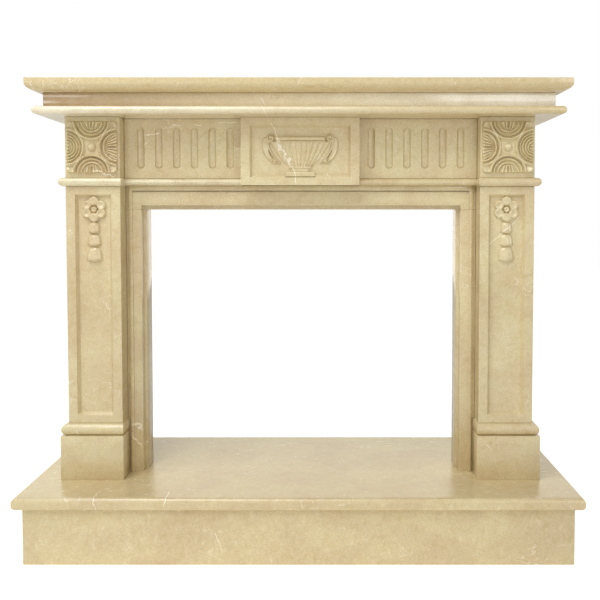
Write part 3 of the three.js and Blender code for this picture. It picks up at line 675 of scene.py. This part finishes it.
# %% Relief of a patera
PLATE_HALF, PLATE_OUT = 71 * MM, 12 * MM
SHELL_REACH, SHELL_FLOOR = 44.5 * MM, 2.5 * MM
FIRST_RING, RING_HIGH = 38.5 * MM, 8.5 * MM
WIDE_RINGS, CLOSE_RINGS = 10 * MM, 7.6 * MM
RIB_SPACING, RIB_CROWN, RIB_HIGH = 10.5 * MM, 56 * MM, 9.5 * MM
BOSS_REACH, BOSS_OUT = 11.5 * MM, 10 * MM
RIM_HIGH, ARM_HOLLOW, ARM_END = 4.2 * MM, 6.5 * MM, 12 * MM
RIM_BEYOND, RIM_WIDTH = 4.6 * MM, 3.8 * MM
MOSTLY_RIBS, HALF_RIBS, MOSTLY_RINGS = 35 * MM, 24.5 * MM, 12 * MM
RIB_TIP, SLIT_HALF = 6 * MM, 2.4 * MM


def shell_relief(across, deep, rib_reach, ring_spacing):
    """A shell from the middle of a side: across along the side, deep into the plate."""
    away = np.hypot(across, deep)
    wave = 0.5 + 0.5 * np.cos(2 * math.pi * (away - FIRST_RING) / ring_spacing)
    rings = RING_HIGH * wave ** 0.8 * step_up(SHELL_REACH - 1.5 * MM - away, 2 * MM)
    spread = across / np.maximum(RIB_CROWN - deep, 5 * MM) * RIB_CROWN / RIB_SPACING
    ribs = np.abs(np.sin(math.pi * spread)) ** 0.8
    tip = np.clip((rib_reach - away) / RIB_TIP, 0, 1)
    swell = 0.75 + 0.25 * np.exp(-(spread / 1.2) ** 2)
    ribs = RIB_HIGH * (0.15 + 0.85 * ribs) * swell * np.sqrt(tip * (2 - tip))
    slit = np.exp(-(across / SLIT_HALF) ** 4) * step_up(0.7 * rib_reach - deep, 4 * MM)
    ribs = ribs * (1 - slit)
    return SHELL_FLOOR + np.where(away < rib_reach, ribs, rings)


def patera_relief(x, z, inward):
    """Inward is 1 where the fireplace lies toward +x, and -1 where it lies toward -x."""
    past = PLATE_HALF - ARM_END
    inside = ARM_END - np.hypot(np.maximum(np.abs(x) - past, 0), np.maximum(np.abs(z) - past, 0))
    inside = np.where(inside < ARM_END, inside, PLATE_HALF - np.maximum(np.abs(x), np.abs(z)))
    shell = np.full_like(x, SHELL_FLOOR)
    nearest = np.full_like(x, 1.0)
    shells = [(z, PLATE_HALF - inward * x, MOSTLY_RIBS, WIDE_RINGS),
              (z, PLATE_HALF + inward * x, MOSTLY_RINGS, CLOSE_RINGS),
              (x, PLATE_HALF - z, HALF_RIBS, WIDE_RINGS),
              (x, PLATE_HALF + z, HALF_RIBS, WIDE_RINGS)]
    for across, deep, rib_reach, ring_spacing in shells:
        away = np.hypot(across, deep)
        carved = shell_relief(across, deep, rib_reach, ring_spacing)
        shell = np.where(away < SHELL_REACH, carved, shell)
        nearest = np.minimum(nearest, away)
    beyond = nearest - SHELL_REACH
    rim = RIM_HIGH * np.exp(-((beyond - RIM_BEYOND) / RIM_WIDTH) ** 2)
    to_corner = np.hypot(PLATE_HALF - np.abs(x), PLATE_HALF - np.abs(z))
    hollow = ARM_HOLLOW * step_up(beyond - 7.5 * MM, 7 * MM) * step_up(to_corner - 17 * MM, 16 * MM)
    saltire = PLATE_OUT + rim - hollow - SHELL_FLOOR
    top = np.where(beyond > 0, SHELL_FLOOR + saltire * step_up(beyond - 1.2 * MM, 2.4 * MM), shell)
    boss = PLATE_OUT - ARM_HOLLOW + BOSS_OUT * rope(np.hypot(x, z), BOSS_REACH)
    top = np.where(np.hypot(x, z) < BOSS_REACH, np.maximum(top, boss), top)
    return top * step_up(inside - 1.2 * MM, 3 * MM)


for side, sign in (("left", -1), ("right", 1)):
    node = f"corner_block_{side}"
    low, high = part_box(node)
    middle_x, middle_z = (low.x + high.x) / 2, (low.z + high.z) / 2
    columns = lines(low.x, high.x, PATERA_STEP, (middle_x - PLATE_HALF, middle_x + PLATE_HALF))
    rows = lines(low.z, high.z, PATERA_STEP, (middle_z - PLATE_HALF, middle_z + PLATE_HALF))
    marble = marble_for(node, (3.3 + sign, 0.2, 5.1), 0.5 * sign)
    carved_stone(node, marble, shaft_face, columns, rows,
                 lambda x, z: patera_relief(x - middle_x, z - middle_z, -sign))

# %% [markdown]
# ### The pilaster shafts
#
# Each shaft has a long sunk panel. On its floor, near the top, hangs a flower with six cupped
# petals and a chain of three husks, each a little wider than the one above it. They stand about
# level with the shaft's face, so nothing sticks out to be knocked off. A husk is written by how
# far its top and foot hang below the flower's middle and by its half width at each, in mm. The
# plain length of the panel below the carving needs few rows.

# %% Relief of a shaft's panel, flower and husks
PANEL_HALF = 50.5 * MM
PANEL_MARGIN = 22 * MM
PANEL_DEEP = 12 * MM
PANEL_SLOPE = 7.5 * MM
FLOWER_DROP = 63 * MM
PETALS = 6
PETAL_PLACE, PETAL_LONG, PETAL_WIDE = 22.5 * MM, 13.5 * MM, 14.5 * MM
PETAL_HIGH, CUP = 12 * MM, 0.5
FLOWER_BOSS = 9 * MM
HUSKS = [(34, 68, 15, 17), (68, 104, 16.5, 21), (103, 147, 18, 25)]
HUSK_HIGH = 13 * MM
CHAIN_LONG, PLAIN_ABOVE, PLAIN_ROWS = 150 * MM, 12 * MM, 60


def flower_relief(x, z):
    """Six cupped petals and a dimpled boss, as a height above the panel's floor."""
    height = np.zeros_like(x)
    for i in range(PETALS):
        turn = math.radians(90 + 360 / PETALS * i)
        along = x * math.cos(turn) + z * math.sin(turn)
        across = -x * math.sin(turn) + z * math.cos(turn)
        hollow = CUP * (0.3 if i % 3 == 0 else 1)
        reach = ((along - PETAL_PLACE) / PETAL_LONG) ** 2 + (across / PETAL_WIDE) ** 2
        edge = np.sqrt(np.clip(1 - reach ** 3, 0, None))
        cup = 1 - hollow * np.exp(-2.2 * reach)
        height = np.maximum(height, PETAL_HIGH * edge ** 0.8 * cup)
    away = np.hypot(x, z)
    moat = 1 - 0.4 * np.exp(-((away - FLOWER_BOSS - MM) / (2.2 * MM)) ** 2)
    boss = 11 * MM * rope(away, FLOWER_BOSS) ** 0.8 - 5 * MM * np.exp(-(away / (3.8 * MM)) ** 2)
    return np.maximum(height * moat, boss)


def husk_relief(x, z):
    """A chain of rounded husks with a crease each side, as a height above the panel's floor."""
    height = np.zeros_like(x)
    for top, foot, half_top, half_foot in HUSKS:
        tall = (foot - top) * MM
        down = np.clip((-z - top * MM) / tall, 0, 1)
        half = (half_top + (half_foot - half_top) * down ** 1.6) * MM
        side = np.abs(x) / half
        crown = np.clip(1 - down / 0.45, 0, 1)
        body = np.sqrt(np.clip(1 - side ** 2.2 - crown ** 2.4, 0, None))
        lip = np.clip((1 - 0.14 * side ** 2 - down) / 0.22, 0, 1)
        crease = 1 - 0.14 * np.exp(-((side - 0.45) / 0.16) ** 2) * (1 - crown)
        shape = body * np.sqrt(lip * (2 - lip)) * crease * (0.72 + 0.28 * down)
        inside = (-z > top * MM) & (-z < foot * MM)
        height = np.maximum(height, np.where(inside, HUSK_HIGH * shape, 0))
    return height


def shaft_relief(x, z, half_high, flower_up):
    """The sunk panel, and on its floor the flower and the husks that hang from it."""
    floor = sunk_panel(x, z, PANEL_HALF, half_high, PANEL_SLOPE)
    flower = np.maximum(flower_relief(x, z - flower_up), husk_relief(x, z - flower_up))
    return -PANEL_DEEP * floor + flower


for side, sign in (("left", -1), ("right", 1)):
    node = f"pilaster_shaft_{side}"
    low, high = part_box(node)
    middle_x, middle_z = (low.x + high.x) / 2, (low.z + high.z) / 2
    half_high = (high.z - low.z) / 2 - PANEL_MARGIN
    flower_up = high.z - FLOWER_DROP - middle_z
    panel_foot, panel_top = middle_z - half_high, middle_z + half_high
    walls = [middle_x - PANEL_HALF, middle_x - PANEL_HALF + PANEL_SLOPE,
             middle_x + PANEL_HALF - PANEL_SLOPE, middle_x + PANEL_HALF]
    columns = lines(low.x, high.x, CARVING_STEP, walls)
    carving_foot = high.z - FLOWER_DROP - CHAIN_LONG
    plain_foot = panel_foot + PLAIN_ABOVE
    rows = np.unique(np.concatenate([
        lines(low.z, plain_foot, 2.0 * MM, (panel_foot, panel_foot + PANEL_SLOPE)),
        np.linspace(plain_foot, carving_foot, PLAIN_ROWS),
        lines(carving_foot, high.z, CARVING_STEP, (panel_top, panel_top - PANEL_SLOPE)),
    ]))
    marble = marble_for(node, (7.7, 1.2 + sign, 2.2), 0.25 * sign)
    carved_stone(node, marble, shaft_face, columns, rows,
                 lambda x, z: shaft_relief(x - middle_x, z - middle_z, half_high, flower_up))

# %% [markdown]
# ### The fluted frieze
#
# Each frieze panel has six upright flutes. A round-nosed wheel is let into the face and run
# down it, so a flute is a hollow with the same round section all along and a round end.

# %% Relief of the flutes
FLUTE_HALF, FLUTE_LONG, FLUTE_DEEP = 10.5 * MM, 114 * MM, 9 * MM
FIRST_FLUTE, FLUTE_SPACING, FLUTES = 199 * MM, 50.3 * MM, 6
FLUTES_UP = 1.5 * MM


def flute_relief(x, z):
    """A row of upright round-ended flutes. z is 0 at the middle of their height."""
    straight = FLUTE_LONG / 2 - FLUTE_HALF
    depth = np.zeros_like(x)
    for i in range(FLUTES):
        across = np.abs(x) - FIRST_FLUTE - i * FLUTE_SPACING
        beyond = np.clip(np.abs(z) - straight, 0, None)
        depth = np.maximum(depth, rope(np.hypot(across, beyond), FLUTE_HALF))
    return -FLUTE_DEEP * depth


for side, sign in (("left", -1), ("right", 1)):
    node = f"frieze_panel_{side}"
    low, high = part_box(node)
    middle_z = (low.z + high.z) / 2 + FLUTES_UP
    edges = [sign * (FIRST_FLUTE + i * FLUTE_SPACING + way * FLUTE_HALF)
             for i in range(FLUTES) for way in (-1, 1)]
    ends = [middle_z - FLUTE_LONG / 2, middle_z + FLUTE_LONG / 2]
    columns = lines(low.x, high.x, FRIEZE_STEP, edges)
    rows = lines(low.z, high.z, FRIEZE_STEP_UP, ends)
    marble = marble_for(node, (5.0, 3.0 + sign, 0.7), 0.6 * sign)
    carved_stone(node, marble, low.y, columns, rows,
                 lambda x, z: flute_relief(x, z - middle_z))

# %% [markdown]
# ### The centre tablet and its urn
#
# The tablet stands forward of the frieze. In its sunk panel is a wide urn in low relief: a
# stepped foot, a bowl fluted by ten hollows with thin ridges between them and a rounded rim. Each
# handle is a scroll at the rim, a tapering leaf that bows down close beside the bowl with a thin
# edge along its inner side, and a small scroll at its foot. The foot, the steps over it and the
# two bands of the rim are level bars, each written by how far it stands out, its half width, the
# heights of its foot and top, and the radius of its rounding, in mm.

# %% Relief of the urn
TABLET_PANEL_HALF = (140 * MM, 72 * MM)
TABLET_PANEL_DEEP, TABLET_PANEL_SLOPE = 12 * MM, 6 * MM
BOWL_FOOT, BOWL_TOP = 28 * MM, 95 * MM
BOWL_FOOT_HALF, BOWL_TOP_HALF = 31 * MM, 82 * MM
BOWL_FLUTES = 10
URN_BARS = [(7.5, 42, -2, 13, 2), (4.5, 24, 12, 23, 2.5), (8, 32, 21.5, 28.5, 3.2),
            (9.5, 73, 94, 98.5, 2), (11, 70, 97.5, 111, 6)]
LEAF_PATH, LEAF_OUT = [(94, 98), (104, 66), (76, 42)], 7.5 * MM
EDGE_PATH, EDGE_OUT = [(93, 102), (89, 66), (57, 36)], 9.5 * MM
TABLET_OUT = 8 * MM
URN_UP = 3 * MM


def bar(x, z, half_wide, foot, top, roundness):
    """A level bar with rounded ends and a rounded front, between two heights."""
    inside = np.minimum(half_wide - np.abs(x), np.minimum(z - foot, top - z))
    return np.sqrt(np.clip(1 - (1 - np.clip(inside / roundness, 0, 1)) ** 2, 0, None))


def scroll(x, z, radius, turns, start):
    """A disc with a spiral groove, as a height between 0 and 1."""
    away = np.hypot(x, z)
    angle = np.arctan2(z, x) - start
    phase = turns * away / radius - angle / (2 * math.pi)
    groove = np.exp(-((phase - np.rint(phase)) / 0.16) ** 2)
    disc = np.sqrt(np.clip(1 - (away / radius) ** 4, 0, None))
    eye = rope(away, radius * 0.32)
    return np.maximum(disc * (1 - 0.55 * groove), eye)


def strap(x, z, points, half_start, half_end):
    """A rounded, tapering band along a bowed path in mm, as a height between 0 and 1."""
    start, bend, end = (np.array(point) * MM for point in points)
    nearest = np.full_like(x, 2.0)
    for share in np.linspace(0, 1, 60):
        spot = (1 - share) ** 2 * start + 2 * share * (1 - share) * bend + share ** 2 * end
        half = half_start + (half_end - half_start) * share
        nearest = np.minimum(nearest, np.hypot(x - spot[0], z - spot[1]) / half)
    hollow = 1 - 0.4 * np.exp(-(nearest / 0.5) ** 2)
    return rope(nearest, 1.0) ** 0.6 * hollow


def urn_relief(x, z):
    """The urn above the panel's floor. z is 0 at its foot."""
    height = np.zeros_like(x)
    for out, *sizes in URN_BARS:
        height = np.maximum(height, out * MM * bar(x, z, *(size * MM for size in sizes)))
    up = np.clip((z - BOWL_FOOT) / (BOWL_TOP - BOWL_FOOT), 0, 1)
    half = BOWL_FOOT_HALF + (BOWL_TOP_HALF - BOWL_FOOT_HALF) * up ** 0.72
    share = np.clip(np.abs(x) / half, 0, 1)
    swell = np.sqrt(np.clip(1 - share ** 2.6, 0, None))
    ridge = np.abs(np.cos(x / half * math.pi * BOWL_FLUTES / 2)) ** 4
    inside = (z > BOWL_FOOT) & (z < BOWL_TOP + MM) & (np.abs(x) < half)
    bowl = (2.5 + 6.5 * swell) * (0.55 + 0.45 * ridge)
    height = np.maximum(height, np.where(inside, bowl * MM, 0))
    side = np.abs(x)
    leaf = LEAF_OUT * strap(side, z, LEAF_PATH, 10.5 * MM, 4.5 * MM)
    inner_edge = EDGE_OUT * strap(side, z, EDGE_PATH, 2.6 * MM, 2.2 * MM)
    rim_scroll = 9.5 * MM * scroll(side - 82.5 * MM, z - 106 * MM, 12.5 * MM, 2.0, 0.4)
    foot_scroll = 10 * MM * scroll(side - 73 * MM, z - 43 * MM, 9 * MM, 1.4, 2.6)
    return np.maximum.reduce([height, leaf, inner_edge, rim_scroll, foot_scroll])


def tablet_relief(x, z, foot_z, middle_z):
    """The sunk panel of the tablet with the urn on its floor."""
    half_wide, half_high = TABLET_PANEL_HALF
    floor = sunk_panel(x, z - middle_z, half_wide, half_high, TABLET_PANEL_SLOPE)
    urn = urn_relief(x, z - foot_z)
    return -TABLET_PANEL_DEEP * floor + np.where(floor > 0.3, urn, 0)


low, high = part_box("centre_tablet")
tablet_face = shaft_face + TABLET_OUT
tablet_middle_z = (low.z + high.z) / 2
half_wide, half_high = TABLET_PANEL_HALF
panel_x = [way * (half_wide - inset) for way in (-1, 1) for inset in (0, TABLET_PANEL_SLOPE)]
panel_z = [tablet_middle_z + way * (half_high - inset)
           for way in (-1, 1) for inset in (0, TABLET_PANEL_SLOPE)]
columns = lines(low.x, high.x, CARVING_STEP, panel_x)
rows = lines(low.z, high.z, CARVING_STEP, panel_z)
urn_foot = tablet_middle_z - half_high + URN_UP
CRACKS["centre_tablet"] = [
    ((-0.072, urn_foot + 0.114), (-0.018, urn_foot + 0.018), 3.6 * MM),
    ((-0.080, urn_foot + 0.150), (-0.060, urn_foot + 0.100), 1.3 * MM),
    ((-0.024, urn_foot + 0.030), (-0.006, urn_foot - 0.024), 1.5 * MM),
]
carved_stone("centre_tablet", marble_for("centre_tablet", (2.9, 0.8, 3.6), 0.3),
             tablet_face, columns, rows,
             lambda x, z: tablet_relief(x, z, urn_foot, tablet_middle_z))
print("all stones:", triangle_total, "triangles")

# %% [markdown]
# ## Floor and light
#
# The photograph shows the mantel cut out on plain white, in bright and even light. The strongest
# lamp is wide and high in front, so the cornice throws a soft shadow on the frieze and both walls
# of a sunk panel are a little darker than its floor. A window's light from the left and a weaker
# lamp from the right model the carving, a lamp overhead lights the top edges, and a small low one
# at the left puts glints in the flutes. The floor and the sky look white to the camera. As light
# on the stone they are dim, so that the shadows stay, and in the polish the sky is bright.

# %% Floor
FLOOR_HALF = 12
FLOOR_LIGHT, FLOOR_SEEN = 0.38, 0.85
floor_bm = bmesh.new()
bmesh.ops.create_grid(floor_bm, x_segments=1, y_segments=1, size=FLOOR_HALF)
bmesh.ops.translate(floor_bm, verts=floor_bm.verts, vec=(0, 0, cad_low.z))
floor_mesh = bpy.data.meshes.new("studio_floor")
floor_bm.to_mesh(floor_mesh)
floor_bm.free()
floor = bpy.data.objects.new("studio_floor", floor_mesh)
bpy.context.scene.collection.objects.link(floor)
floor_paint = bpy.data.materials.new("matt_white_floor_paint")
floor_paint.use_nodes = True
floor_tree = floor_paint.node_tree
floor_tree.nodes.clear()
floor_ray = add_node(floor_tree, "ShaderNodeLightPath")
floor_glow = add_node(floor_tree, "ShaderNodeMapRange", None,
                      Value=floor_ray.outputs["Is Camera Ray"],
                      To_Min=FLOOR_LIGHT, To_Max=FLOOR_SEEN)
floor_shader = add_node(floor_tree, "ShaderNodeBsdfPrincipled", None,
                        Base_Color=linear("#f4f3f0"), Roughness=0.9,
                        Emission_Color=linear("#ffffff"),
                        Emission_Strength=floor_glow.outputs[0])
add_node(floor_tree, "ShaderNodeOutputMaterial", None, Surface=floor_shader.outputs[0])
floor_mesh.materials.append(floor_paint)

# %% Sky and lamps
DIM_SKY, MIRRORED_SKY, SEEN_SKY = 0.14, 1.55, 1.0
world = bpy.data.worlds.new("white_studio")
bpy.context.scene.world = world
world.use_nodes = True
sky = world.node_tree
sky.nodes.clear()
dim_sky = add_node(sky, "ShaderNodeBackground", None, Color=linear("#f5efdc"), Strength=DIM_SKY)
mirrored_sky = add_node(sky, "ShaderNodeBackground", None, Color=linear("#fdf8ea"),
                        Strength=MIRRORED_SKY)
white_sky = add_node(sky, "ShaderNodeBackground", None, Color=(1, 1, 1, 1), Strength=SEEN_SKY)
ray = add_node(sky, "ShaderNodeLightPath")
polished = add_node(sky, "ShaderNodeMixShader", None, Fac=ray.outputs["Is Glossy Ray"],
                    i1=dim_sky.outputs[0], i2=mirrored_sky.outputs[0])
mixed = add_node(sky, "ShaderNodeMixShader", None, Fac=ray.outputs["Is Camera Ray"],
                 i1=polished.outputs[0], i2=white_sky.outputs[0])
add_node(sky, "ShaderNodeOutputWorld", None, Surface=mixed.outputs[0])


def soft_lamp(name, place, target, size, power):
    """A square area light at a place, turned to its target. Its size is in metres, power in watts."""
    light = bpy.data.lights.new(name, "AREA")
    light.shape = "SQUARE"
    light.size = size
    light.energy = power
    lamp = bpy.data.objects.new(name, light)
    lamp.location = place
    lamp.rotation_euler = (Vector(target) - Vector(place)).to_track_quat("-Z", "Y").to_euler()
    bpy.context.scene.collection.objects.link(lamp)


soft_lamp("window_light", (-4.8, -4.4, 4.0), (0, -0.1, 0.7), 2.4, 66)
soft_lamp("right_light", (2.6, -4.2, 2.3), (0, -0.1, 0.8), 1.8, 33)
soft_lamp("low_light", (-4.4, -4.4, 1.3), (0, -0.1, 0.9), 0.6, 9)
soft_lamp("room_light", (-0.9, -3.6, 4.8), (0, -0.1, 0.6), 2.4, 93)
soft_lamp("ceiling_light", (-1.0, -0.9, 2.8), (-0.3, -0.2, 0.4), 1.2, 20)
bpy.context.scene.view_settings.view_transform = "Standard"
